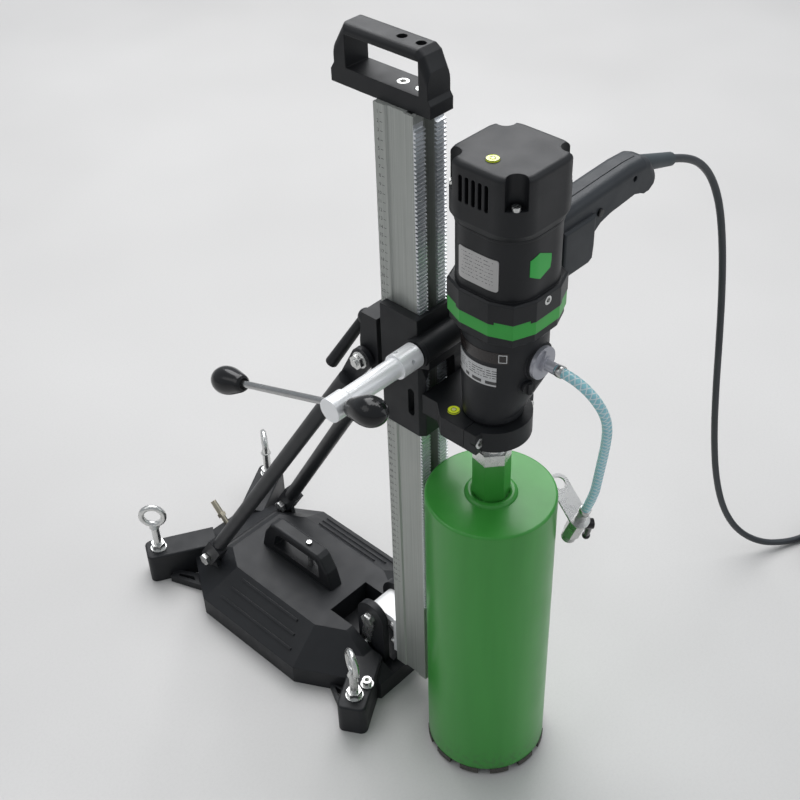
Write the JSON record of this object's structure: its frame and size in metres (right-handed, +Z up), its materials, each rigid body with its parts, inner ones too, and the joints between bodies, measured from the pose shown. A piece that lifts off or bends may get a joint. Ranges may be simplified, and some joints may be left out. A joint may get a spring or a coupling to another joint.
{
  "type": "core drill rig",
  "caption": "Wet core drilling rig: tilting geared column on a vacuum base, cranked carriage, motor with gearbox and a wide green core bit.",
  "frame": {"origin": "on the floor, at the middle of the base's solid front bar; the base rests on its seal and casting rim at z = 0", "axes": "+Z up along the column, -Y to the front where the bit is, +X to the side of the motor's handle"},
  "size_m": [0.8624, 0.8956, 0.941],
  "materials": {
    "casting": "black powder coat over cast alloy",
    "rail": "clear anodised extrusion",
    "zinc": "bright zinc plate",
    "steel": "ground steel",
    "bright_alloy": "turned alloy",
    "black_plastic": "fine-grained black plastic",
    "gloss_black": "polished black plastic",
    "tube_black": "satin black paint",
    "green_paint": "green paint",
    "green_plastic": "green plastic",
    "segment": "sintered grit",
    "rubber": "black rubber",
    "brass": "bare brass",
    "vial": "yellow-green vial",
    "hose_skin": "clear reinforced hose, blue tint",
    "copper": "wound copper and laminations",
    "plate_white": "printed foil",
    "cable_skin": "black cable jacket"
  },
  "bodies": {
    "base": {"base_casting": "casting", "vacuum_seal": "rubber", "carry_handle": "black_plastic", "vacuum_nipple": "brass", "levelling_nuts": "zinc", "front_cap_screws": "zinc", "tilt_bolts": "zinc", "strut_pivot_bolts": "zinc"},
    "vent_button": {"vent_button": "zinc"},
    "front_left_leveller": {"levelling_screw_fl": "zinc"},
    "front_right_leveller": {"levelling_screw_fr": "zinc"},
    "rear_left_leveller": {"levelling_screw_rl": "zinc"},
    "rear_right_leveller": {"levelling_screw_rr": "zinc"},
    "column": {"column_profile": "rail", "rack_strips": "steel", "column_foot": "bright_alloy", "column_screws": "zinc", "top_handle": "black_plastic"},
    "struts": {"strut_tubes": "tube_black", "strut_head_bolts": "zinc"},
    "strut_bracket": {"strut_bracket": "casting"},
    "clamp_lever": {"clamp_lever": "black_plastic"},
    "drill_carriage": {"carriage_housing": "casting", "guide_pads": "black_plastic", "gib_screws": "zinc", "motor_clamp": "casting", "clamp_cap": "casting", "clamp_screws": "zinc", "spirit_levels": "vial", "motor_housing": "black_plastic", "motor_cap": "black_plastic", "motor_screws": "zinc", "stator": "copper", "brush_holders": "brass", "flange_ring": "green_plastic", "gearbox_housing": "casting", "bearing_plates": "steel", "motor_handle": "black_plastic", "cable_boot": "rubber", "water_swivel": "bright_alloy", "rating_plate": "plate_white", "hose": "hose_skin", "hose_valve": "steel", "strap_plate": "steel", "power_cable": "cable_skin", "cable_coil": "cable_skin", "cable_plug": "rubber"},
    "feed_pinion": {"pinion_shaft": "steel", "crank_bar": "bright_alloy"},
    "crank_tbar": {"tbar_rod": "steel", "tbar_knobs": "gloss_black"},
    "armature": {"armature": "copper"},
    "idler_gear": {"idler_gear": "steel"},
    "spindle": {"spindle": "zinc", "core_bit": "green_paint", "bit_segments": "segment"},
    "gear_selector": {"gear_selector": "black_plastic"},
    "trigger": {"trigger": "gloss_black"},
    "lock_button": {"lock_button": "gloss_black"},
    "valve_lever": {"valve_lever": "gloss_black"}
  },
  "joints": [
    {"name": "column_tilt", "type": "hinge", "parent": "base", "child": "column", "pos_m": [0, 0.029, 0.106], "axis": [-1, 0, 0], "range_deg": [0, 45]},
    {"name": "strut_swing", "type": "hinge", "parent": "base", "child": "struts", "pos_m": [0, 0.316, 0.064], "axis": [-1, 0, 0], "range_deg": [0, 51.2]},
    {"name": "bracket_slide", "type": "slide", "parent": "column", "child": "strut_bracket", "axis": [0, 0, 1], "range_m": [0, 0.2455]},
    {"name": "clamp_turn", "type": "hinge", "parent": "strut_bracket", "child": "clamp_lever", "pos_m": [0, 0.02, 0.588], "axis": [0, 1, 0], "range_deg": [-90, 30]},
    {"name": "carriage_slide", "type": "slide", "parent": "column", "child": "drill_carriage", "axis": [0, 0, 1], "range_m": [-0.33, 0.215]},
    {"name": "feed_crank", "type": "hinge", "parent": "drill_carriage", "child": "feed_pinion", "pos_m": [0, -0.0787, 0.615], "axis": [1, 0, 0], "range_deg": [-1027, 1577]},
    {"name": "tbar_slide", "type": "slide", "parent": "feed_pinion", "child": "crank_tbar", "axis": [0, -0.9432, 0.3322], "range_m": [0, 0.148]},
    {"name": "spindle_spin", "type": "hinge", "parent": "drill_carriage", "child": "spindle", "pos_m": [0, -0.153, 0.5], "axis": [0, 0, 1], "continuous": true},
    {"name": "idler_spin", "type": "hinge", "parent": "drill_carriage", "child": "idler_gear", "pos_m": [0.02175, -0.13234, 0.64], "axis": [0, 0, 1], "continuous": true},
    {"name": "armature_spin", "type": "hinge", "parent": "drill_carriage", "child": "armature", "pos_m": [0.018, -0.153, 0.74], "axis": [0, 0, 1], "continuous": true},
    {"name": "selector_turn", "type": "hinge", "parent": "drill_carriage", "child": "gear_selector", "pos_m": [0.00069, -0.19708, 0.6085], "axis": [-0.3469, -0.9379, 0], "range_deg": [0, 90]},
    {"name": "trigger_press", "type": "slide", "parent": "drill_carriage", "child": "trigger", "axis": [0, 0, 1], "range_m": [0, 0.004], "stiffness_N_per_m": 500, "springref_m": -0.004},
    {"name": "lock_press", "type": "slide", "parent": "drill_carriage", "child": "lock_button", "axis": [0, 1, 0], "range_m": [0, 0.002], "stiffness_N_per_m": 400, "springref_m": -0.003},
    {"name": "valve_turn", "type": "hinge", "parent": "drill_carriage", "child": "valve_lever", "pos_m": [0.0825, -0.22942, 0.37186], "axis": [0.8002, -0.5701, -0.186], "range_deg": [0, 90]},
    {"name": "vent_press", "type": "slide", "parent": "base", "child": "vent_button", "axis": [0, 0, -1], "range_m": [0, 0.003], "stiffness_N_per_m": 600, "springref_m": -0.003},
    {"name": "level_front_left", "type": "slide", "parent": "base", "child": "front_left_leveller", "axis": [0, 0, -1], "range_m": [-0.02, 0.02]},
    {"name": "level_front_right", "type": "slide", "parent": "base", "child": "front_right_leveller", "axis": [0, 0, -1], "range_m": [-0.02, 0.02]},
    {"name": "level_rear_left", "type": "slide", "parent": "base", "child": "rear_left_leveller", "axis": [0, 0, -1], "range_m": [-0.02, 0.02]},
    {"name": "level_rear_right", "type": "slide", "parent": "base", "child": "rear_right_leveller", "axis": [0, 0, -1], "range_m": [-0.02, 0.02]}
  ],
  "couplings": [
    {"joint": "strut_swing", "follows": "column_tilt", "ratio": 1.1344},
    {"joint": "bracket_slide", "follows": "column_tilt", "m_per_rad": 0.3119},
    {"joint": "feed_crank", "follows": "carriage_slide", "rad_per_m": -83.333},
    {"joint": "idler_spin", "follows": "spindle_spin", "ratio": -3},
    {"joint": "armature_spin", "follows": "spindle_spin", "ratio": 9.6}
  ]
}
